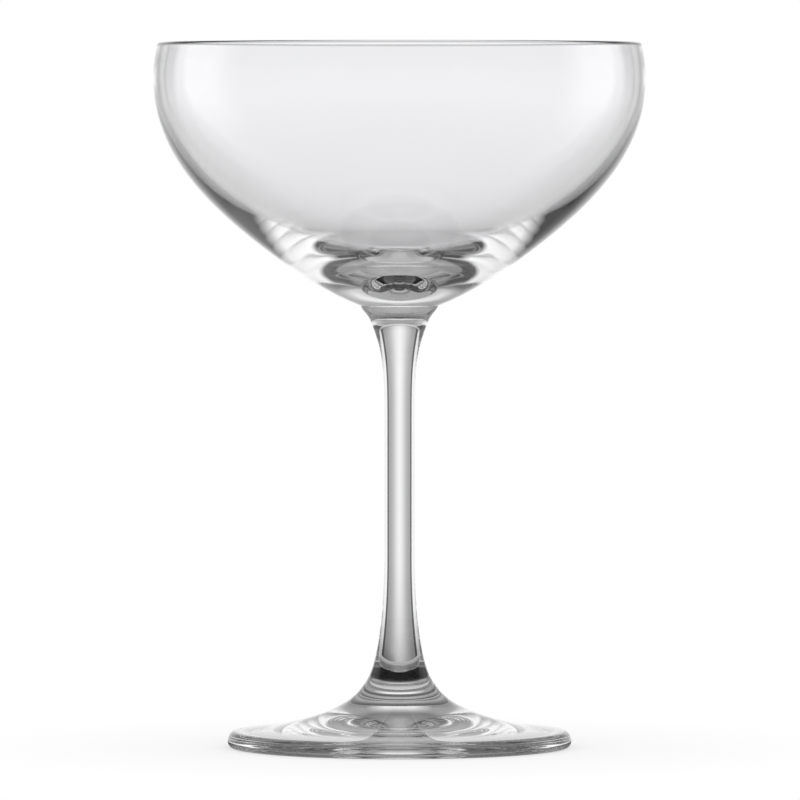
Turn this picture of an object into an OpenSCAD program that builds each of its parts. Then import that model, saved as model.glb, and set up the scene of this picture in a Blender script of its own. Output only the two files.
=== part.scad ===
// Coupe glass: a wide blown bowl, a drawn stem and a pressed foot, fused where their faces meet.
// Lengths are in millimetres and angles in degrees. The foot rests on z = 0 and +Z is the axis.

/* [Bowl] */
// Height of the bowl from its weld on the stem to the rim
bowl_h = 54.9; // [51:0.1:66]
// Outside diameter at the widest point
bowl_d = 102.4; // [98:0.1:112]
// Depth of the widest point below the rim
widest_drop = 7.7; // [6.5:0.1:10]
// Straight run of the outside down from the widest point, before it turns in
side_pull = 24.2; // [21:0.1:27]
// Radius of the point that draws the outside in under the shoulder
belly_r = 26.2; // [23:0.1:30]
// Height of that point above the weld
belly_rise = 13.5; // [11:0.1:15]
// Slope of the underside where it meets the stem
base_slope = 22; // [18:0.5:26]
// Length of the straight run of the underside out from the stem
base_pull = 17.7; // [15:0.1:20]

/* [Rim] */
// Outside diameter of the rim
rim_d = 100.8; // [97:0.1:102]
// Thickness of the rim, which ends in a full round fire-polished bead
rim_wall = 1.1; // [0.8:0.05:1.4]
// Inward lean of the wall at the rim
rim_lean = 10; // [4:0.5:14]
// Length of the leaning stretch under the bead
rim_pull = 2.5; // [1:0.1:3.5]
// Upright stretch above the widest point
upright_pull = 4; // [2:0.1:5]

/* [Hollow] */
// Wall at the widest point
side_wall = 1.2; // [0.9:0.05:1.5]
// Straight run of the inside down from the widest point
inner_pull = 21; // [19:0.1:23]
// Radius of the hip, where the wall of the hollow runs into its dished floor
hip_r = 15.1; // [13.5:0.1:16.5]
// Height of the hip above the weld
hip_rise = 9.8; // [9:0.1:11]
// Slope of the inside at the hip
hip_slope = 16.5; // [13:0.5:20]
// Length of the hip's straight run up into the wall
hip_up_pull = 7.2; // [5:0.1:9]
// Length of the hip's straight run down into the floor
hip_down_pull = 7.4; // [5:0.1:8.5]
// Glass between the weld and the middle of the floor
floor_t = 6.6; // [5:0.1:7.6]
// Radius to which the middle of the floor stays nearly flat
floor_pull = 3.9; // [2:0.1:6]

/* [Stem] */
// Length of the stem from the foot to the bowl
stem_l = 77.6; // [64:0.1:95]
// Diameter of the plain middle of the stem
stem_d = 6.3; // [5.5:0.1:8]
// Diameter of the flared collar that carries the bowl
collar_d = 16.2; // [14:0.1:18]
// Height of the collar
collar_h = 3.5; // [3:0.1:5]
// Slope of the collar's lip, just under the bowl
lip_slope = 71; // [60:1:80]
// Length of the collar's lip
lip_pull = 1.4; // [0.8:0.1:1.8]
// Diameter of the throat, where the collar runs into the stem
throat_d = 11.8; // [10.5:0.1:13]
// Slope of the glass through the throat
throat_slope = 68.5; // [64:0.5:74]
// Length of the throat's straight run up into the collar
throat_pull = 2.3; // [1.5:0.1:2.6]
// Length of the throat's straight run down into the stem
taper_pull = 7.9; // [6:0.1:8.5]
// Length over which the throat narrows to the plain stem
upper_flare_l = 26.4; // [22:0.1:30]
// Upright stretch at the lower end of that taper
upper_flare_pull = 16.2; // [12:0.1:18]
// Length over which the plain stem widens to the foot
lower_flare_l = 25.5; // [20:0.1:30]
// Upright stretch at the upper end of that flare
lower_flare_pull = 12.3; // [9:0.1:15]

/* [Foot] */
// Height of the foot from its resting ring to its weld on the stem
foot_h = 14.5; // [12.5:0.1:18]
// Diameter of the foot
foot_d = 71.7; // [66:0.1:80]
// Diameter of the neck where the stem meets the foot
neck_d = 13.1; // [12:0.1:14.5]
// Slope of the glass through that neck
neck_slope = 60; // [55:0.5:66]
// Length of the neck's straight run up into the stem
neck_rise_pull = 3.9; // [2.5:0.1:5]
// Length of the neck's straight run down into the foot
neck_fall_pull = 4.7; // [3.5:0.1:6]
// Radius of the point that draws the top of the foot in and down
dome_r = 11.9; // [11:0.1:14]
// Height of that point above the resting ring
dome_rise = 6.1; // [5.3:0.1:7]
// Thickness of the foot at its shoulder, just inside the edge
foot_t = 3.4; // [2.8:0.1:4]
// Distance of the shoulder in from the edge
shoulder_inset = 1.6; // [1:0.1:2.4]
// Slope of the top of the foot at the shoulder
shoulder_slope = 3; // [1:0.5:5]
// Length of the straight run in from the shoulder
shoulder_pull = 5.7; // [4:0.1:9]
// Height of the widest point of the edge
edge_rise = 1.35; // [1:0.05:1.7]
// Distance of the resting ring in from the edge
ring_inset = 1.1; // [0.7:0.1:1.8]
// Width of the flat resting ring
ring_w = 2.4; // [1.5:0.1:4]
// Depth of the hollow under the foot
dish_depth = 3; // [2:0.1:4]
// Radius to which the top of that hollow stays nearly flat
dish_pull = 15; // [10:0.5:20]

/* [Hidden] */
$fn = 128;

// Steps along a long curve and along a small round
long_steps = 28;
round_steps = 10;

// Radii from the diameters
bowl_r = bowl_d / 2;
hollow_r = bowl_r - side_wall;
stem_r = stem_d / 2;
collar_r = collar_d / 2;
throat_r = throat_d / 2;
neck_r = neck_d / 2;
foot_r = foot_d / 2;
shoulder_r = foot_r - shoulder_inset;
ring_outer_r = foot_r - ring_inset;
ring_inner_r = ring_outer_r - ring_w;

// Heights above the resting ring
weld_z = foot_h + stem_l;
rim_z = weld_z + bowl_h;
widest_z = rim_z - widest_drop;
floor_z = weld_z + floor_t;
throat_z = weld_z - collar_h;
waist_top_z = throat_z - upper_flare_l;
waist_base_z = foot_h + lower_flare_l;

// Centre of the bead on the rim
bead_r = rim_wall / 2;
bead_at = [rim_d / 2 - bead_r, rim_z - bead_r];

// Step of a given length along a slope measured up from the horizontal
function along(length, slope) = length * [cos(slope), sin(slope)];

// Point at the share t of the smooth curve that a chain of control points draws
function blend(points, t) =
    len(points) == 1
        ? points[0]
        : blend([for (i = [0 : len(points) - 2]) points[i] * (1 - t) + points[i + 1] * t], t);

// Curve of a chain of control points, without its first point
function curve(points, steps) = [for (i = [1 : steps]) blend(points, i / steps)];

// Elliptical arc from one angle to another, without its first point
function arc(centre, half_w, half_h, from, to) =
    [for (i = [1 : round_steps])
        let (angle = from + (to - from) * i / round_steps)
        centre + [half_w * cos(angle), half_h * sin(angle)]];

// Outside of the bowl, from its weld up to the widest point
function bowl_outside() =
    curve([
        [collar_r, weld_z],
        [collar_r, weld_z] + along(base_pull, base_slope),
        [belly_r, weld_z + belly_rise],
        [bowl_r, widest_z - side_pull],
        [bowl_r, widest_z]], long_steps);

// Rim, from the widest point outside over the bead to the widest point inside
function bowl_rim() =
    let (
        across = along(bead_r, rim_lean),
        down = along(rim_pull, rim_lean - 90))
    concat(
        curve([
            [bowl_r, widest_z],
            [bowl_r, widest_z + upright_pull],
            bead_at + across + down,
            bead_at + across], round_steps),
        arc(bead_at, bead_r, bead_r, rim_lean, 90),
        arc(bead_at, bead_r, bead_r, 90, rim_lean + 180),
        curve([
            bead_at - across,
            bead_at - across + down,
            [hollow_r, widest_z + upright_pull],
            [hollow_r, widest_z]], round_steps));

// Inside of the bowl, from the widest point over the hip down to the middle of the floor
function bowl_inside() =
    let (hip = [hip_r, weld_z + hip_rise])
    concat(
        curve([
            [hollow_r, widest_z],
            [hollow_r, widest_z - inner_pull],
            hip + along(hip_up_pull, hip_slope),
            hip], long_steps),
        curve([
            hip,
            hip - along(hip_down_pull, hip_slope),
            [floor_pull, floor_z],
            [0, floor_z]], round_steps));

// Collar, from the weld under the bowl down to the throat
function stem_collar() =
    curve([
        [collar_r, weld_z],
        [collar_r, weld_z] - along(lip_pull, lip_slope),
        [throat_r, throat_z] + along(throat_pull, throat_slope),
        [throat_r, throat_z]], round_steps);

// Taper from the throat down to the plain stem
function stem_taper() =
    curve([
        [throat_r, throat_z],
        [throat_r, throat_z] - along(taper_pull, throat_slope),
        [stem_r, waist_top_z + upper_flare_pull],
        [stem_r, waist_top_z]], long_steps);

// Flare from the plain stem down to the weld on the foot
function stem_flare() =
    curve([
        [stem_r, waist_base_z],
        [stem_r, waist_base_z - lower_flare_pull],
        [neck_r, foot_h] + along(neck_rise_pull, 180 - neck_slope),
        [neck_r, foot_h]], long_steps);

// Top of the foot, from its weld out to the shoulder
function foot_dome() =
    curve([
        [neck_r, foot_h],
        [neck_r, foot_h] + along(neck_fall_pull, -neck_slope),
        [dome_r, dome_rise],
        [shoulder_r, foot_t] + along(shoulder_pull, 180 - shoulder_slope),
        [shoulder_r, foot_t]], long_steps);

// Rounded edge of the foot, from the shoulder down to the resting ring
function foot_edge() =
    concat(
        arc([shoulder_r, edge_rise], shoulder_inset, foot_t - edge_rise, 90, 0),
        arc([ring_outer_r, edge_rise], ring_inset, edge_rise, 0, -90));

// Hollow under the foot, from the resting ring in to the axis
function foot_dish() =
    curve([
        [ring_inner_r, 0],
        [dish_pull, dish_depth],
        [0, dish_depth]], long_steps);

// Blown bowl with a thin wall, a beaded rim and a thick lens of glass under its floor
module bowl() {
    color("#dde4e4", 0.4)
        rotate_extrude()
            polygon(concat(
                [[0, weld_z], [collar_r, weld_z]],
                bowl_outside(),
                bowl_rim(),
                bowl_inside()));
}

// Solid drawn stem, flared at the top into a collar and at the bottom into the foot
module stem() {
    color("#d3dada", 0.5)
        rotate_extrude()
            polygon(concat(
                [[0, foot_h], [0, weld_z], [collar_r, weld_z]],
                stem_collar(),
                stem_taper(),
                [[stem_r, waist_base_z]],
                stem_flare()));
}

// Pressed foot with a rounded edge, a flat resting ring and a shallow hollow underneath
module foot() {
    color("#d8dfdf", 0.5)
        rotate_extrude()
            polygon(concat(
                [[0, foot_h], [neck_r, foot_h]],
                foot_dome(),
                foot_edge(),
                [[ring_inner_r, 0]],
                foot_dish()));
}

bowl();
stem();
foot();
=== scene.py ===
"""Looks of a clear coupe glass: a blown bowl, a drawn stem and a pressed foot, fused hot.

Sizes are written in millimetres, as a glassmaker would, and become metres where a mesh is made.
Outlines lie in the X-Z plane: the first number is the distance from the axis, the second the height.
"""

import logging
import math
from dataclasses import dataclass
from enum import Enum
from typing import Any, Iterable, Sequence

import bmesh
import bpy
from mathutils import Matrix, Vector

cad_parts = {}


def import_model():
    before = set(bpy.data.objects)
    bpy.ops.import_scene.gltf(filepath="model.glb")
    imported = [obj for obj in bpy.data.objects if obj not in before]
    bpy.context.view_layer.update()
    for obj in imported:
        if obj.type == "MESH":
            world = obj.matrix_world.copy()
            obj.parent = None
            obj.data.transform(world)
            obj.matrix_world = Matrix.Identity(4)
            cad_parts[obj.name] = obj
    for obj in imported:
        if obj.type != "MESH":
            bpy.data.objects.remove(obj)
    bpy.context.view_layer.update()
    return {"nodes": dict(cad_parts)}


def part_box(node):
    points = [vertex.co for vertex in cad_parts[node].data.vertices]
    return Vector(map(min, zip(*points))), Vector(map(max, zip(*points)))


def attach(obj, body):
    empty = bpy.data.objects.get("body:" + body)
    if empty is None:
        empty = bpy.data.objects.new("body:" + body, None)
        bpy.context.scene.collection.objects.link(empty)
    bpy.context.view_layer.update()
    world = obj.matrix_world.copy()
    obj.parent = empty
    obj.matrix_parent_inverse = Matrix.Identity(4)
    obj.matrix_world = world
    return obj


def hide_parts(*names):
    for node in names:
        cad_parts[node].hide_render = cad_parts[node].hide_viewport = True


MM = 0.001
# Steps round the axis, along a long curve and along a small round
SPIN_STEPS = 192
LONG_STEPS = 56
ROUND_STEPS = 14
TABLE_SIDES = 96
# Points nearer than this are one point
MERGE_MM = 0.0005
# Bounces that a ray may make, because the thick glass mirrors it many times
BOUNCES = 32
MIRROR_BOUNCES = 24
# Half a step between whole counts of bounces
COUNT_SLACK = 0.5
BODY = "root"

Stops = tuple[tuple[float, float], ...]

log = logging.getLogger("coupe")


class Face(Enum):
    """Material slots of a glass piece: its polished skin and its fused seam."""

    SKIN = 0
    SEAM = 1


class Ray(Enum):
    """What a material or the world asks about a ray: its kind, or its count of bounces."""

    CAMERA = "Is Camera Ray"
    SHADOW = "Is Shadow Ray"
    DIFFUSE = "Is Diffuse Ray"
    MIRRORED = "Glossy Depth"
    CROSSED = "Transmission Depth"


def linear(hex_colour: str) -> tuple[float, float, float, float]:
    """Turn an sRGB hex colour into linear light.

    Args:
        hex_colour: Colour such as "#f4f6f5".

    Returns:
        Red, green, blue and an alpha of 1.
    """
    parts = [int(hex_colour[i : i + 2], 16) / 255 for i in (1, 3, 5)]
    curve_up = [p / 12.92 if p <= 0.04045 else ((p + 0.055) / 1.055) ** 2.4 for p in parts]
    return (*curve_up, 1.0)


def grey(level: float) -> tuple[float, float, float, float]:
    """Return a neutral linear colour of one level."""
    return (level, level, level, 1.0)


def add_node(
    tree: bpy.types.NodeTree, kind: str, inputs: dict[Any, Any], **settings: Any
) -> bpy.types.Node:
    """Add a node, set its options and fill or link its inputs.

    Args:
        tree: Node tree that gets the node.
        kind: Blender's name of the node type.
        inputs: Input name or number to a value, or to the output socket that feeds it.
        settings: Options of the node itself, by name.

    Returns:
        The new node.
    """
    node = tree.nodes.new(kind)
    for option, value in settings.items():
        setattr(node, option, value)
    for key, value in inputs.items():
        if isinstance(value, bpy.types.NodeSocket):
            tree.links.new(value, node.inputs[key])
        else:
            node.inputs[key].default_value = value
    return node


def fill_ramp(node: bpy.types.Node, stops: Stops, first: float, last: float) -> None:
    """Set the stops of a ramp to neutral levels.

    Args:
        node: Ramp node.
        stops: Places and their levels, in rising order.
        first: The place that stands for the start of the ramp.
        last: The place that stands for its end.
    """
    ramp = node.color_ramp
    while len(ramp.elements) < len(stops):
        ramp.elements.new(1.0)
    for element, (place, level) in zip(ramp.elements, stops):
        element.position = (place - first) / (last - first)
        element.color = grey(level)


def along(length: float, slope: float) -> Vector:
    """Return a step of a length along a slope, in degrees up from the horizontal."""
    return Vector((math.cos(math.radians(slope)), math.sin(math.radians(slope)))) * length


def blend(points: Sequence[Vector], share: float) -> Vector:
    """Return the point at a share of the smooth curve that a chain of control points draws.

    Args:
        points: Control points, from the start to the end of the curve.
        share: Place along the curve, from 0 to 1.

    Returns:
        The point on the curve.
    """
    if len(points) == 1:
        return points[0]
    return blend([a.lerp(b, share) for a, b in zip(points, points[1:])], share)


def curve(points: Iterable[Sequence[float]], steps: int) -> list[Vector]:
    """Return the points of a smooth curve, without its first one.

    Args:
        points: Control points, from the start to the end of the curve.
        steps: Number of stretches.

    Returns:
        The points after the start, the end included.
    """
    chain = [Vector(p) for p in points]
    return [blend(chain, i / steps) for i in range(1, steps + 1)]


def arc(centre: Vector, half_w: float, half_h: float, start: float, stop: float) -> list[Vector]:
    """Return the points of an elliptical arc, without its first one.

    Args:
        centre: Centre of the ellipse.
        half_w: Half width of the ellipse.
        half_h: Half height of the ellipse.
        start: Angle of the first point, in degrees.
        stop: Angle of the last point, in degrees.

    Returns:
        The points after the start, the end included.
    """
    turns = [math.radians(start + (stop - start) * i / ROUND_STEPS) for i in range(1, ROUND_STEPS + 1)]
    return [centre + Vector((half_w * math.cos(a), half_h * math.sin(a))) for a in turns]


@dataclass(frozen=True)
class FireGlass:
    """Clear soda-lime glass with a fire-polished skin.

    The skin is mirror smooth, so the eye sees only what it bends and reflects. Slow swells left by
    the mould and the blowpipe make the reflections sway a little.
    """

    name: str = "fire-polished clear glass"
    tint: str = "#fefeff"
    ior: float = 1.52
    roughness: float = 0.0
    swell_mm: float = 9.0
    swell_depth_mm: float = 0.002
    shade_under: float = 0.86

    def make(self) -> bpy.types.Material:
        """Make the material, which also lets light through to the table.

        Returns:
            The glass.
        """
        material = bpy.data.materials.new(self.name)
        material.use_nodes = True
        tree = material.node_tree
        tree.nodes.clear()
        place = add_node(tree, "ShaderNodeTexCoord", {})
        swell = add_node(
            tree,
            "ShaderNodeTexNoise",
            {"Vector": place.outputs["Object"], "Scale": 1 / (self.swell_mm * MM), "Detail": 1.0},
        )
        skin = add_node(
            tree,
            "ShaderNodeBump",
            {"Height": swell.outputs["Fac"], "Strength": 1.0, "Distance": self.swell_depth_mm * MM},
        )
        glass = add_node(
            tree,
            "ShaderNodeBsdfPrincipled",
            {
                "Base Color": linear(self.tint),
                "Transmission Weight": 1.0,
                "IOR": self.ior,
                "Roughness": self.roughness,
                "Normal": skin.outputs["Normal"],
            },
        )
        clear = add_node(tree, "ShaderNodeBsdfTransparent", {"Color": grey(self.shade_under)})
        path = add_node(tree, "ShaderNodeLightPath", {})
        mix = add_node(
            tree,
            "ShaderNodeMixShader",
            {0: path.outputs[Ray.SHADOW.value], 1: glass.outputs[0], 2: clear.outputs[0]},
        )
        add_node(tree, "ShaderNodeOutputMaterial", {"Surface": mix.outputs[0]})
        return material


@dataclass(frozen=True)
class HotSeam:
    """Face along which two gathers of hot glass ran together: it can no longer be seen."""

    name: str = "fused glass seam"

    def make(self) -> bpy.types.Material:
        """Make the material, which is clear from both sides.

        Returns:
            The seam.
        """
        material = bpy.data.materials.new(self.name)
        material.use_nodes = True
        shader = material.node_tree.nodes["Principled BSDF"]
        shader.inputs["Alpha"].default_value = 0.0
        return material


@dataclass
class GlassPiece:
    """One gather of glass, spun about the axis of the glass."""

    node: str

    def outline(self) -> list[Vector]:
        """Return the outline from the axis, round the outside, back to the axis."""
        raise NotImplementedError

    def seam_heights(self) -> list[float]:
        """Return the heights of the flat faces where this piece is fused to its neighbours."""
        raise NotImplementedError

    def build(self, skin: bpy.types.Material, seam: bpy.types.Material) -> bpy.types.Object:
        """Spin the outline into a closed mesh and dress it.

        Args:
            skin: Material of the polished surface.
            seam: Material of the fused faces.

        Returns:
            The piece, riding on the frame in place of its solid.
        """
        shape = bmesh.new()
        chain = [shape.verts.new((p.x * MM, 0, p.y * MM)) for p in self.outline()]
        edges = [shape.edges.new(pair) for pair in zip(chain, chain[1:])]
        bmesh.ops.spin(
            shape,
            geom=chain + edges,
            cent=(0, 0, 0),
            axis=(0, 0, 1),
            dvec=(0, 0, 0),
            angle=math.tau,
            steps=SPIN_STEPS,
            use_merge=True,
            use_duplicate=False,
        )
        bmesh.ops.remove_doubles(shape, verts=shape.verts, dist=MERGE_MM * MM)
        bmesh.ops.recalc_face_normals(shape, faces=shape.faces)
        self.mark_seams(shape)
        mesh = bpy.data.meshes.new(f"{self.node}_glass")
        shape.to_mesh(mesh)
        shape.free()
        mesh.materials.append(skin)
        mesh.materials.append(seam)
        piece = bpy.data.objects.new(f"{self.node}_glass", mesh)
        bpy.context.scene.collection.objects.link(piece)
        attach(piece, BODY)
        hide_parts(self.node)
        log.info("%s: %d faces", piece.name, len(mesh.polygons))
        return piece

    def mark_seams(self, shape: bmesh.types.BMesh) -> None:
        """Smooth the skin, and give the fused faces their own material and a sharp border.

        Args:
            shape: The spun mesh.
        """
        for face in shape.faces:
            face.smooth = True
            face.material_index = Face.SKIN.value
            for height in self.seam_heights():
                if all(abs(v.co.z - height * MM) < MERGE_MM * MM for v in face.verts):
                    face.material_index = Face.SEAM.value
        for edge in shape.edges:
            edge.smooth = len({f.material_index for f in edge.link_faces}) == 1


@dataclass
class Bowl(GlassPiece):
    """Blown bowl: a thin leaning wall with a beaded rim over a thick lens of glass."""

    weld_r: float
    weld_z: float
    bowl_r: float
    rim_z: float
    widest_drop: float = 7.7
    side_pull: float = 24.2
    belly_r: float = 26.2
    belly_rise: float = 13.5
    base_slope: float = 22.0
    base_pull: float = 17.7
    rim_r: float = 50.4
    rim_wall: float = 1.1
    rim_lean: float = 10.0
    rim_pull: float = 2.5
    upright_pull: float = 4.0
    side_wall: float = 1.2
    inner_pull: float = 21.0
    hip_r: float = 15.1
    hip_rise: float = 9.8
    hip_slope: float = 16.5
    hip_up_pull: float = 7.2
    hip_down_pull: float = 7.4
    floor_t: float = 6.6
    floor_pull: float = 3.9

    def seam_heights(self) -> list[float]:
        """Return the height of the weld on the stem."""
        return [self.weld_z]

    def outline(self) -> list[Vector]:
        """Return the outline from the weld, over the rim, to the middle of the hollow's floor."""
        weld = Vector((self.weld_r, self.weld_z))
        return [Vector((0, self.weld_z)), weld, *self.outside(weld), *self.rim(), *self.inside()]

    def widest(self, wall: float) -> Vector:
        """Return the widest point of the wall, a wall's thickness in from the outside."""
        return Vector((self.bowl_r - wall, self.rim_z - self.widest_drop))

    def outside(self, weld: Vector) -> list[Vector]:
        """Draw the outside from the weld up to the widest point.

        Args:
            weld: Edge of the weld on the stem.

        Returns:
            The points after the weld.
        """
        widest = self.widest(0)
        return curve(
            [
                weld,
                weld + along(self.base_pull, self.base_slope),
                (self.belly_r, self.weld_z + self.belly_rise),
                widest - Vector((0, self.side_pull)),
                widest,
            ],
            LONG_STEPS,
        )

    def rim(self) -> list[Vector]:
        """Draw the rim from the widest point outside, over the bead, to the widest point inside.

        Returns:
            The points after the widest point outside.
        """
        bead = self.rim_wall / 2
        centre = Vector((self.rim_r - bead, self.rim_z - bead))
        across = along(bead, self.rim_lean)
        down = along(self.rim_pull, self.rim_lean - 90)
        outer, inner = self.widest(0), self.widest(self.side_wall)
        up = Vector((0, self.upright_pull))
        return [
            *curve([outer, outer + up, centre + across + down, centre + across], ROUND_STEPS),
            *arc(centre, bead, bead, self.rim_lean, 90),
            *arc(centre, bead, bead, 90, self.rim_lean + 180),
            *curve([centre - across, centre - across + down, inner + up, inner], ROUND_STEPS),
        ]

    def inside(self) -> list[Vector]:
        """Draw the inside from the widest point, over the hip, down to the middle of the floor.

        Returns:
            The points after the widest point inside.
        """
        widest = self.widest(self.side_wall)
        hip = Vector((self.hip_r, self.weld_z + self.hip_rise))
        floor = Vector((0, self.weld_z + self.floor_t))
        wall = [
            widest,
            widest - Vector((0, self.inner_pull)),
            hip + along(self.hip_up_pull, self.hip_slope),
            hip,
        ]
        dip = [
            hip,
            hip - along(self.hip_down_pull, self.hip_slope),
            floor + Vector((self.floor_pull, 0)),
            floor,
        ]
        return [*curve(wall, LONG_STEPS), *curve(dip, LONG_STEPS // 2)]


@dataclass
class Stem(GlassPiece):
    """Solid drawn stem with a collar under the bowl and a flare into the foot."""

    collar_r: float
    weld_z: float
    foot_h: float
    stem_r: float = 3.15
    collar_h: float = 3.5
    lip_slope: float = 71.0
    lip_pull: float = 1.4
    throat_r: float = 5.9
    throat_slope: float = 68.5
    throat_pull: float = 2.3
    taper_pull: float = 7.9
    upper_flare_l: float = 26.4
    upper_flare_pull: float = 16.2
    lower_flare_l: float = 25.5
    lower_flare_pull: float = 12.3
    neck_r: float = 6.55
    neck_slope: float = 60.0
    neck_rise_pull: float = 3.9

    def seam_heights(self) -> list[float]:
        """Return the heights of the welds on the bowl and on the foot."""
        return [self.weld_z, self.foot_h]

    def outline(self) -> list[Vector]:
        """Draw the outline from the weld under the bowl down to the weld on the foot.

        Returns:
            The points from the axis round to the axis.
        """
        weld = Vector((self.collar_r, self.weld_z))
        throat = Vector((self.throat_r, self.weld_z - self.collar_h))
        waist_top = Vector((self.stem_r, throat.y - self.upper_flare_l))
        waist_base = Vector((self.stem_r, self.foot_h + self.lower_flare_l))
        neck = Vector((self.neck_r, self.foot_h))
        lip = weld - along(self.lip_pull, self.lip_slope)
        collar = [weld, lip, throat + along(self.throat_pull, self.throat_slope), throat]
        taper = [
            throat,
            throat - along(self.taper_pull, self.throat_slope),
            waist_top + Vector((0, self.upper_flare_pull)),
            waist_top,
        ]
        flare = [
            waist_base,
            waist_base - Vector((0, self.lower_flare_pull)),
            neck + along(self.neck_rise_pull, 180 - self.neck_slope),
            neck,
        ]
        return [
            Vector((0, self.weld_z)),
            weld,
            *curve(collar, ROUND_STEPS),
            *curve(taper, LONG_STEPS),
            waist_base,
            *curve(flare, LONG_STEPS),
            Vector((0, self.foot_h)),
        ]


@dataclass
class Foot(GlassPiece):
    """Pressed foot: a domed disc with a rounded edge and a shallow hollow underneath."""

    foot_r: float
    foot_h: float
    neck_r: float = 6.55
    neck_slope: float = 60.0
    neck_fall_pull: float = 4.7
    dome_r: float = 11.9
    dome_rise: float = 6.1
    foot_t: float = 3.4
    shoulder_inset: float = 1.6
    shoulder_slope: float = 3.0
    shoulder_pull: float = 5.7
    edge_rise: float = 1.35
    ring_inset: float = 1.1
    ring_w: float = 2.4
    dish_depth: float = 3.0
    dish_pull: float = 15.0

    def seam_heights(self) -> list[float]:
        """Return the height of the weld on the stem."""
        return [self.foot_h]

    def outline(self) -> list[Vector]:
        """Draw the outline from the weld, over the dome and the edge, to the hollow underneath.

        Returns:
            The points from the axis round to the axis.
        """
        neck = Vector((self.neck_r, self.foot_h))
        shoulder = Vector((self.foot_r - self.shoulder_inset, self.foot_t))
        ring_outer = self.foot_r - self.ring_inset
        ring_inner = Vector((ring_outer - self.ring_w, 0))
        dome = [
            neck,
            neck + along(self.neck_fall_pull, -self.neck_slope),
            (self.dome_r, self.dome_rise),
            shoulder + along(self.shoulder_pull, 180 - self.shoulder_slope),
            shoulder,
        ]
        dish = [ring_inner, (self.dish_pull, self.dish_depth), (0, self.dish_depth)]
        upper_edge = Vector((shoulder.x, self.edge_rise))
        lower_edge = Vector((ring_outer, self.edge_rise))
        return [
            Vector((0, self.foot_h)),
            neck,
            *curve(dome, LONG_STEPS),
            *arc(upper_edge, self.shoulder_inset, self.foot_t - self.edge_rise, 90, 0),
            *arc(lower_edge, self.ring_inset, self.edge_rise, 0, -90),
            ring_inner,
            *curve(dish, LONG_STEPS),
        ]


class Sight(Enum):
    """Ways in which light reaches the eye by the glass."""

    PLAIN = "bent by one piece of glass"
    THROUGH = "seen through two walls or pieces of glass"
    GLINT = "mirrored by the outer skin"
    ONCE = "mirrored once inside the glass"
    DEEP = "mirrored several times inside the glass"


def split_rays(tree: bpy.types.NodeTree, path: bpy.types.Node) -> dict[Sight, bpy.types.Node]:
    """Sort the rays that left the glass by what it did to them.

    Args:
        tree: Node tree that gets the nodes.
        path: Its Light Path node.

    Returns:
        For each way but the plain one, a node whose output is 1 for its rays and 0 for others.
    """
    tests = {
        "crossed": (Ray.CROSSED, 3.5, "GREATER_THAN"),
        "outside": (Ray.CROSSED, 0.5, "LESS_THAN"),
        "straight": (Ray.MIRRORED, 0.5, "LESS_THAN"),
        "single": (Ray.MIRRORED, 1.0, "COMPARE"),
        "deep": (Ray.MIRRORED, 1.5, "GREATER_THAN"),
    }
    found = {}
    for name, (ray, limit, test) in tests.items():
        found[name] = add_node(
            tree,
            "ShaderNodeMath",
            {0: path.outputs[ray.value], 1: limit, 2: COUNT_SLACK},
            operation=test,
        )
    both = {Sight.THROUGH: ("crossed", "straight"), Sight.GLINT: ("outside", "single")}
    sights = {Sight.ONCE: found["single"], Sight.DEEP: found["deep"]}
    for sight, (first, second) in both.items():
        sights[sight] = add_node(
            tree,
            "ShaderNodeMath",
            {0: found[first].outputs[0], 1: found[second].outputs[0]},
            operation="MULTIPLY",
        )
    return sights


def choose(
    tree: bpy.types.NodeTree, sights: dict[Sight, bpy.types.Node], tones: dict[Sight, bpy.types.Node]
) -> bpy.types.Node:
    """Give each ray the level that belongs to its way through the glass.

    Args:
        tree: Node tree that gets the nodes.
        sights: Tests from split_rays.
        tones: Level of each way.

    Returns:
        The node with the chosen level.
    """
    tone = tones[Sight.PLAIN]
    for sight in (Sight.THROUGH, Sight.ONCE, Sight.GLINT, Sight.DEEP):
        tone = add_node(
            tree,
            "ShaderNodeMix",
            {0: sights[sight].outputs[0], 2: tone.outputs[0], 3: tones[sight].outputs[0]},
            data_type="FLOAT",
        )
    return tone


@dataclass(frozen=True)
class Span:
    """Stretch of angle, in degrees, over which a level goes from one end's to the other's."""

    start: float
    stop: float
    low: float
    high: float


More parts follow.
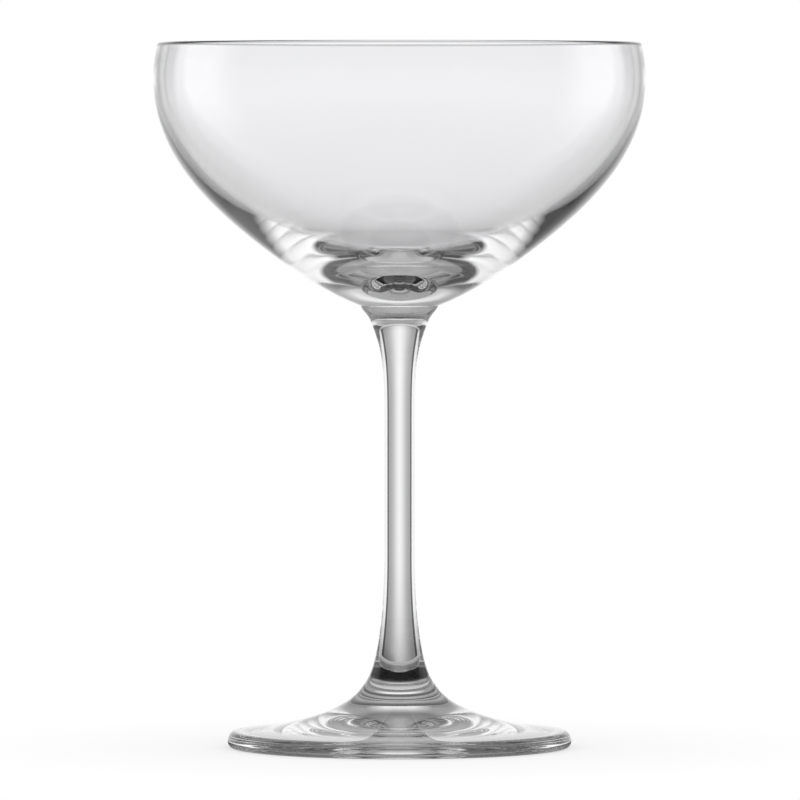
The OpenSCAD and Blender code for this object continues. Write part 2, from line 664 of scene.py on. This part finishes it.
@dataclass(frozen=True)
class Table:
    """Matt white table top, which runs out to a white backdrop on every side.

    Under the foot, each way through the glass meets its own painted shade and light: glowing levels by
    distance from the axis.
    """

    radius_mm: float = 6000.0
    drop_mm: float = 0.05
    colour: str = "#fafafa"
    shadow_reach_mm: float = 110.0
    shadow_share: float = 0.5
    under_foot_mm: float = 45.0
    # Painted shade and light under the foot, as the glass sees it: glowing levels by distance from the
    # axis, in mm
    under_crossed: Stops = ((0, 0.75), (9, 0.6), (16, 0.14), (30, 0.1), (34, 0.4), (45, 0.7))
    under_plain: Stops = ((0, 0.9), (10, 0.6), (26, 0.6), (31, 0.3), (35, 0.65), (40, 0.6), (45, 0.4))
    under_once: Stops = (
        (0, 0.005), (16, 0.01), (20, 0.1), (24, 0.55),
        (30, 0.45), (35, 0.35), (39, 0.15), (45, 0.36),
    )
    under_deep: Stops = (
        (0, 0.005), (9, 0.01), (12, 0.06), (17, 0.06), (20, 0.16),
        (24, 0.42), (30, 0.4), (34, 0.12), (45, 0.08),
    )

    def build(self) -> bpy.types.Object:
        """Make the table top, which is stage and not part of the glass.

        Returns:
            The table top.
        """
        shape = bmesh.new()
        bmesh.ops.create_circle(shape, cap_ends=True, segments=TABLE_SIDES, radius=self.radius_mm * MM)
        bmesh.ops.translate(shape, verts=shape.verts, vec=(0, 0, -self.drop_mm * MM))
        mesh = bpy.data.meshes.new("table")
        shape.to_mesh(mesh)
        shape.free()
        mesh.materials.append(self.surface())
        table = bpy.data.objects.new("table", mesh)
        bpy.context.scene.collection.objects.link(table)
        return table

    def surface(self) -> bpy.types.Material:
        """Make the matt white surface, which keeps the glass's soft shadow.

        Under the foot the glass sees painted shade and light, glowing levels that stand in for the foot's
        shadow. Past that spot the glass sees the tent.

        Returns:
            The surface.
        """
        material = bpy.data.materials.new("matt white table top")
        material.use_nodes = True
        tree = material.node_tree
        tree.nodes.clear()
        place = add_node(tree, "ShaderNodeTexCoord", {})
        path = add_node(tree, "ShaderNodeLightPath", {})
        reach = add_node(tree, "ShaderNodeVectorMath", {0: place.outputs["Object"]}, operation="LENGTH")
        sights = split_rays(tree, path)
        out = add_node(
            tree,
            "ShaderNodeMapRange",
            {"Value": reach.outputs["Value"], "From Min": 0.0, "From Max": self.under_foot_mm * MM},
        )
        shades = {
            Sight.PLAIN: self.under_plain,
            Sight.THROUGH: self.under_crossed,
            Sight.GLINT: self.under_once,
            Sight.ONCE: self.under_once,
            Sight.DEEP: self.under_deep,
        }
        tones = {}
        for sight, stops in shades.items():
            tones[sight] = add_node(tree, "ShaderNodeValToRGB", {0: out.outputs[0]})
            fill_ramp(tones[sight], stops, 0, self.under_foot_mm)
        tone = choose(tree, sights, tones)
        # Painted shade and light under the foot: these levels glow in place of the shadow that the foot
        # casts
        painted_under_foot = add_node(tree, "ShaderNodeEmission", {"Color": grey(1.0), "Strength": tone.outputs[0]})
        beyond = add_node(
            tree,
            "ShaderNodeMath",
            {0: reach.outputs["Value"], 1: self.under_foot_mm * MM},
            operation="GREATER_THAN",
        )
        gone = add_node(tree, "ShaderNodeBsdfTransparent", {})
        glass_sees = add_node(
            tree,
            "ShaderNodeMixShader",
            {0: beyond.outputs[0], 1: painted_under_foot.outputs[0], 2: gone.outputs[0]},
        )
        matt = add_node(tree, "ShaderNodeBsdfDiffuse", {"Color": linear(self.colour)})
        white = add_node(tree, "ShaderNodeEmission", {"Color": grey(1.0), "Strength": 1.0})
        away = add_node(
            tree,
            "ShaderNodeMapRange",
            {
                "Value": reach.outputs["Value"],
                "From Min": 0.0,
                "From Max": self.shadow_reach_mm * MM,
                "To Min": 1 - self.shadow_share,
                "To Max": 1.0,
            },
            interpolation_type="SMOOTHSTEP",
        )
        camera_sees = add_node(
            tree,
            "ShaderNodeMixShader",
            {0: away.outputs[0], 1: matt.outputs[0], 2: white.outputs[0]},
        )
        mix = add_node(
            tree,
            "ShaderNodeMixShader",
            {0: path.outputs[Ray.CAMERA.value], 1: glass_sees.outputs[0], 2: camera_sees.outputs[0]},
        )
        add_node(tree, "ShaderNodeOutputMaterial", {"Surface": mix.outputs[0]})
        return material


@dataclass(frozen=True)
class Tent:
    """Walls of the light tent, each with its levels by tilt, as one kind of ray meets them.

    Where no wall is given behind the camera, the front wall runs on there.
    """

    spot: Stops
    back: Stops
    flag: Stops
    side: Stops
    front: Stops
    camera: Stops = ()

    def walls(self) -> list[Stops]:
        """Return the walls in the order in which they stand, from the backdrop round to the camera."""
        return [self.spot, self.back, self.flag, self.side, self.front, self.camera or self.front]


class Angle(Enum):
    """Angles of the direction in which a ray leaves the glass."""

    TURN = "round from the middle of the backdrop"
    TILT = "up from the horizon"
    LEVEL = "away from the horizon, up or down"


RAMP_ENDS = {Angle.TURN: (0, 90), Angle.TILT: (-90, 90), Angle.LEVEL: (0, 90)}


@dataclass(frozen=True)
class Studio:
    """Bright-field light tent: a spot-lit backdrop, black flags, soft side panels and a pale floor.

    Light that the glass doesn't mirror meets the same tent in front and behind, so that the glass looks
    clear from all round. Light that it mirrors meets the tent as it stands. Each way through the glass
    has its own levels, set for the bands that clear glass shows, which one real tent couldn't do.
    """

    through_stops: Stops = (
        (0, 0.92), (6, 0.92), (10, 0.89), (14, 0.84), (18, 0.77), (22, 0.69),
        (26, 0.61), (30, 0.56), (36, 0.6), (44, 0.78), (60, 0.85), (90, 0.9),
    )
    spot_stops: Stops = (
        (0, 0.97), (4, 0.91), (7.5, 0.83), (10, 0.75), (12, 0.69), (15, 0.6),
        (18, 0.53), (21, 0.48), (25, 0.42), (34, 0.38), (50, 0.2), (90, 0.1),
    )
    rise_stops: Stops = (
        (-40, 0.42), (-28, 0.5), (-20, 0.58), (-14, 0.72), (-8, 0.86),
        (-3, 0.97), (2, 1.0), (22, 1.0), (40, 0.6),
    )
    glint: Tent = Tent(
        spot=((-90, 0.7), (-45, 0.6), (-20, 0.6), (-10, 1.0), (29, 1.0), (33, 0.4), (50, 0.4), (90, 0.3)),
        back=((-90, 0.7), (-40, 0.6), (-20, 0.5), (-8, 0.95), (8, 0.9), (16, 0.6), (40, 0.5), (90, 0.3)),
        flag=((-90, 0.7), (-35, 0.9), (-10, 0.7), (2, 0.55), (10, 0.35), (90, 0.3)),
        side=((-90, 0.7), (-35, 0.95), (-10, 1.05), (0, 0.9), (10, 0.8), (40, 0.4), (90, 0.3)),
        front=((-90, 0.7), (-12, 0.75), (-2, 0.5), (6, 0.28), (12, 0.1), (40, 0.05), (90, 0.1)),
    )
    once: Tent = Tent(
        spot=(
            (-60, 0.36), (-34, 0.38), (-16, 0.62), (-7, 1.0), (3, 0.9),
            (12, 0.67), (25, 0.3), (33, 0.21), (52, 0.41), (90, 0.36),
        ),
        back=(
            (-60, 0.36), (-36, 0.4), (-24, 0.7), (-10, 0.5), (-4, 0.25),
            (6, 0.36), (18, 0.34), (28, 0.18), (60, 0.36),
        ),
        flag=(
            (-70, 0.36), (-30, 0.45), (-10, 0.75), (0, 0.55),
            (10, 0.25), (25, 0.15), (60, 0.33), (80, 0.36),
        ),
        side=((-70, 0.36), (-38, 0.7), (-16, 1.3), (5, 1.35), (36, 0.55), (60, 0.36)),
        front=(
            (-75, 0.36), (-50, 0.5), (-14, 0.8), (0, 0.85),
            (18, 0.72), (36, 0.5), (60, 0.3), (75, 0.36),
        ),
    )
    deep: Tent = Tent(
        spot=(
            (-60, 0.55), (-12, 0.5), (-4, 0.95), (2, 1.0), (7, 0.6), (14, 0.4),
            (26, 0.4), (32, 0.45), (52, 0.48), (62, 0.2), (90, 0.2),
        ),
        back=(
            (-60, 0.35), (-25, 0.55), (-12, 0.35), (-3, 0.3),
            (20, 0.3), (36, 0.42), (52, 0.42), (70, 0.2),
        ),
        flag=((-60, 0.28), (-16, 0.28), (-3, 0.06), (20, 0.06), (38, 0.25), (90, 0.25)),
        side=(
            (-40, 0.4), (-20, 0.85), (-7, 1.15), (2, 1.15), (12, 1.0),
            (19, 0.65), (38, 0.45), (52, 0.08), (90, 0.08),
        ),
        front=((-90, 0.02), (0, 0.03), (20, 0.08), (30, 0.15), (45, 0.08), (90, 0.1)),
        camera=((-90, 0.02), (-20, 0.02), (-10, 0.18), (0, 0.3), (35, 0.3), (50, 0.25), (90, 0.2)),
    )
    borders: Stops = ((7.0, 17.0), (33.5, 36.0), (46.0, 52.0), (79.0, 96.0), (140.0, 155.0))
    flag: Span = Span(33.5, 35.0, 1.0, 0.25)
    panel_near: Span = Span(42.0, 43.5, 0.0, 0.95)
    panel_foot: Span = Span(-22.0, -10.0, 0.5, 1.0)
    floor_near: Span = Span(-31.0, -25.0, 1.0, 0.0)
    floor_level: float = 0.85
    card_near: Span = Span(4.0, 12.0, 0.0, 1.0)
    card_far: Span = Span(34.0, 45.0, 1.0, 0.0)
    card_top: Span = Span(-26.0, -17.0, 0.6, 0.0)

    def tents(self) -> dict[Sight, Tent]:
        """Return the tent that each kind of mirrored light meets."""
        return {Sight.GLINT: self.glint, Sight.ONCE: self.once, Sight.DEEP: self.deep}

    def build(self) -> None:
        """Make the world: white to the camera, a light tent to the glass."""
        world = bpy.data.worlds.new("light tent")
        bpy.context.scene.world = world
        world.use_nodes = True
        tree = world.node_tree
        tree.nodes.clear()
        place = add_node(tree, "ShaderNodeTexCoord", {})
        axes = add_node(tree, "ShaderNodeSeparateXYZ", {0: place.outputs["Generated"]})
        path = add_node(tree, "ShaderNodeLightPath", {})
        levels = self.levels(tree, self.angles(tree, axes, path))
        levels["right"] = add_node(
            tree,
            "ShaderNodeMath",
            {0: axes.outputs["X"], 1: 0.0},
            operation="GREATER_THAN",
        )
        lit = choose(tree, split_rays(tree, path), self.tones(tree, levels))
        glass_sees = add_node(tree, "ShaderNodeBackground", {"Color": lit.outputs[0], "Strength": 1.0})
        white = add_node(tree, "ShaderNodeBackground", {"Color": grey(1.0), "Strength": 1.0})
        open_view = add_node(
            tree,
            "ShaderNodeMath",
            {0: path.outputs[Ray.CAMERA.value], 1: path.outputs[Ray.DIFFUSE.value]},
            operation="MAXIMUM",
        )
        mix = add_node(
            tree,
            "ShaderNodeMixShader",
            {0: open_view.outputs[0], 1: glass_sees.outputs[0], 2: white.outputs[0]},
        )
        add_node(tree, "ShaderNodeOutputWorld", {"Surface": mix.outputs[0]})

    def angles(
        self, tree: bpy.types.NodeTree, axes: bpy.types.Node, path: bpy.types.Node
    ) -> dict[Angle, bpy.types.Node]:
        """Work out the angles of a ray's direction.

        Args:
            tree: Node tree that gets the nodes.
            axes: Node that gives the direction's X, Y and Z.
            path: The tree's Light Path node.

        Returns:
            For each angle, the node that gives it in radians.
        """
        mirrored = add_node(
            tree,
            "ShaderNodeMath",
            {0: path.outputs[Ray.MIRRORED.value], 1: COUNT_SLACK},
            operation="GREATER_THAN",
        )
        side = add_node(tree, "ShaderNodeMath", {0: axes.outputs["X"]}, operation="ABSOLUTE")
        either = add_node(tree, "ShaderNodeMath", {0: axes.outputs["Y"]}, operation="ABSOLUTE")
        ahead = add_node(
            tree,
            "ShaderNodeMix",
            {0: mirrored.outputs[0], 2: either.outputs[0], 3: axes.outputs["Y"]},
            data_type="FLOAT",
        )
        turn = add_node(
            tree,
            "ShaderNodeMath",
            {0: side.outputs[0], 1: ahead.outputs[0]},
            operation="ARCTAN2",
        )
        tilt = add_node(tree, "ShaderNodeMath", {0: axes.outputs["Z"]}, operation="ARCSINE")
        level = add_node(tree, "ShaderNodeMath", {0: tilt.outputs[0]}, operation="ABSOLUTE")
        return {Angle.TURN: turn, Angle.TILT: tilt, Angle.LEVEL: level}

    def levels(
        self, tree: bpy.types.NodeTree, angles: dict[Angle, bpy.types.Node]
    ) -> dict[Any, bpy.types.Node]:
        """Turn the ramps and spans of the tent into levels by angle.

        Args:
            tree: Node tree that gets the nodes.
            angles: Nodes that give the angles.

        Returns:
            For each ramp, wall, border and span, the node that gives its level.
        """
        ramps: dict[Any, tuple[Angle, Stops]] = {
            "through": (Angle.LEVEL, self.through_stops),
            "spot": (Angle.TURN, self.spot_stops),
            "rise": (Angle.TILT, self.rise_stops),
        }
        for sight, tent in self.tents().items():
            for number, stops in enumerate(tent.walls()):
                ramps[sight, number] = (Angle.TILT, stops)
        spans: dict[Any, tuple[Angle, Span]] = {
            "flag": (Angle.TURN, self.flag),
            "panel_near": (Angle.TURN, self.panel_near),
            "panel_foot": (Angle.TILT, self.panel_foot),
            "floor_near": (Angle.TILT, self.floor_near),
            "card_near": (Angle.TURN, self.card_near),
            "card_far": (Angle.TURN, self.card_far),
            "card_top": (Angle.TILT, self.card_top),
        }
        for number, (start, stop) in enumerate(self.borders, 1):
            spans["border", number] = (Angle.TURN, Span(start, stop, 0.0, 1.0))
        shares = {}
        for angle, (first, last) in RAMP_ENDS.items():
            shares[angle] = add_node(
                tree,
                "ShaderNodeMapRange",
                {
                    "Value": angles[angle].outputs[0],
                    "From Min": math.radians(first),
                    "From Max": math.radians(last),
                },
            )
        found = {}
        for name, (angle, stops) in ramps.items():
            found[name] = add_node(tree, "ShaderNodeValToRGB", {0: shares[angle].outputs[0]})
            fill_ramp(found[name], stops, *RAMP_ENDS[angle])
        for name, (angle, span) in spans.items():
            found[name] = add_node(
                tree,
                "ShaderNodeMapRange",
                {
                    "Value": angles[angle].outputs[0],
                    "From Min": math.radians(span.start),
                    "From Max": math.radians(span.stop),
                    "To Min": span.low,
                    "To Max": span.high,
                },
            )
        return found

    def tones(
        self, tree: bpy.types.NodeTree, levels: dict[Any, bpy.types.Node]
    ) -> dict[Sight, bpy.types.Node]:
        """Put the tent together for each way through the glass.

        Light that one piece bends meets the spot-lit backdrop, its flags, the side panels and the floor.
        That light, and what the outer skin mirrors, also meet a dark card low on the right.

        Args:
            tree: Node tree that gets the nodes.
            levels: Levels of the tent's parts, and the test for the right-hand side.

        Returns:
            For each way, the node that gives its level.
        """
        products = {
            "flagged": ("spot", "rise", "flag"),
            "panel": ("panel_near", "panel_foot"),
            "card": ("right", "card_near", "card_far", "card_top"),
        }
        made = {}
        for name, (first, *others) in products.items():
            made[name] = levels[first]
            for other in others:
                made[name] = add_node(
                    tree,
                    "ShaderNodeMath",
                    {0: made[name].outputs[0], 1: levels[other].outputs[0]},
                    operation="MULTIPLY",
                )
        walls = add_node(
            tree,
            "ShaderNodeMath",
            {0: made["flagged"].outputs[0], 1: made["panel"].outputs[0]},
            operation="MAXIMUM",
        )
        plain = add_node(
            tree,
            "ShaderNodeMix",
            {0: levels["floor_near"].outputs[0], 2: walls.outputs[0], 3: self.floor_level},
            data_type="FLOAT",
        )
        tones = {Sight.PLAIN: plain, Sight.THROUGH: levels["through"]}
        for sight, tent in self.tents().items():
            tones[sight] = levels[sight, 0]
            for number in range(1, len(tent.walls())):
                tones[sight] = add_node(
                    tree,
                    "ShaderNodeMix",
                    {
                        0: levels["border", number].outputs[0],
                        2: tones[sight].outputs[0],
                        3: levels[sight, number].outputs[0],
                    },
                    data_type="FLOAT",
                )
        for sight in (Sight.PLAIN, Sight.GLINT):
            tones[sight] = add_node(
                tree,
                "ShaderNodeMix",
                {0: made["card"].outputs[0], 2: tones[sight].outputs[0], 3: 0.0},
                data_type="FLOAT",
            )
        return tones


@dataclass(frozen=True)
class Viewpoint:
    """Long lens a little above the rim, aimed at the middle of the picture."""

    distance_mm: float = 2350.0
    height_mm: float = 169.6
    aim_mm: float = 72.46
    side_mm: float = 0.105
    mm_per_pixel: float = 0.20836
    picture_px: int = 800
    sensor_mm: float = 36.0
    far_m: float = 100.0

    def build(self) -> bpy.types.Object:
        """Make the camera and set it as the scene's own.

        Returns:
            The camera.
        """
        data = bpy.data.cameras.new("camera")
        data.sensor_width = self.sensor_mm
        reach = math.hypot(self.distance_mm, self.height_mm - self.aim_mm)
        data.lens = self.sensor_mm * reach / (self.mm_per_pixel * self.picture_px)
        data.clip_end = self.far_m
        camera = bpy.data.objects.new("camera", data)
        bpy.context.scene.collection.objects.link(camera)
        eye = Vector((self.side_mm, -self.distance_mm, self.height_mm)) * MM
        aim = Vector((self.side_mm, 0, self.aim_mm)) * MM
        camera.location = eye
        camera.rotation_euler = (aim - eye).to_track_quat("-Z", "Y").to_euler()
        bpy.context.scene.camera = camera
        return camera


def main() -> None:
    """Build the camera, the stage and the three pieces of glass."""
    logging.basicConfig(level=logging.INFO, format="%(name)s: %(message)s")
    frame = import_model()
    log.info("frame: %d nodes", len(frame["nodes"]))
    scene = bpy.context.scene
    scene.view_settings.view_transform = "Standard"
    scene.cycles.max_bounces = BOUNCES
    scene.cycles.transmission_bounces = BOUNCES
    scene.cycles.glossy_bounces = MIRROR_BOUNCES
    scene.cycles.transparent_max_bounces = BOUNCES
    scene.cycles.caustics_refractive = False
    scene.cycles.caustics_reflective = False
    Viewpoint().build()
    Table().build()
    Studio().build()
    bowl_low, bowl_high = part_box("bowl")
    stem_low, stem_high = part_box("stem")
    foot_low, foot_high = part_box("foot")
    skin = FireGlass().make()
    seam = HotSeam().make()
    pieces = [
        Bowl(
            "bowl",
            weld_r=stem_high.x / MM,
            weld_z=bowl_low.z / MM,
            bowl_r=bowl_high.x / MM,
            rim_z=bowl_high.z / MM,
        ),
        Stem("stem", collar_r=stem_high.x / MM, weld_z=stem_high.z / MM, foot_h=stem_low.z / MM),
        Foot("foot", foot_r=foot_high.x / MM, foot_h=foot_high.z / MM),
    ]
    for piece in pieces:
        piece.build(skin, seam)


if __name__ == "__main__":
    main()
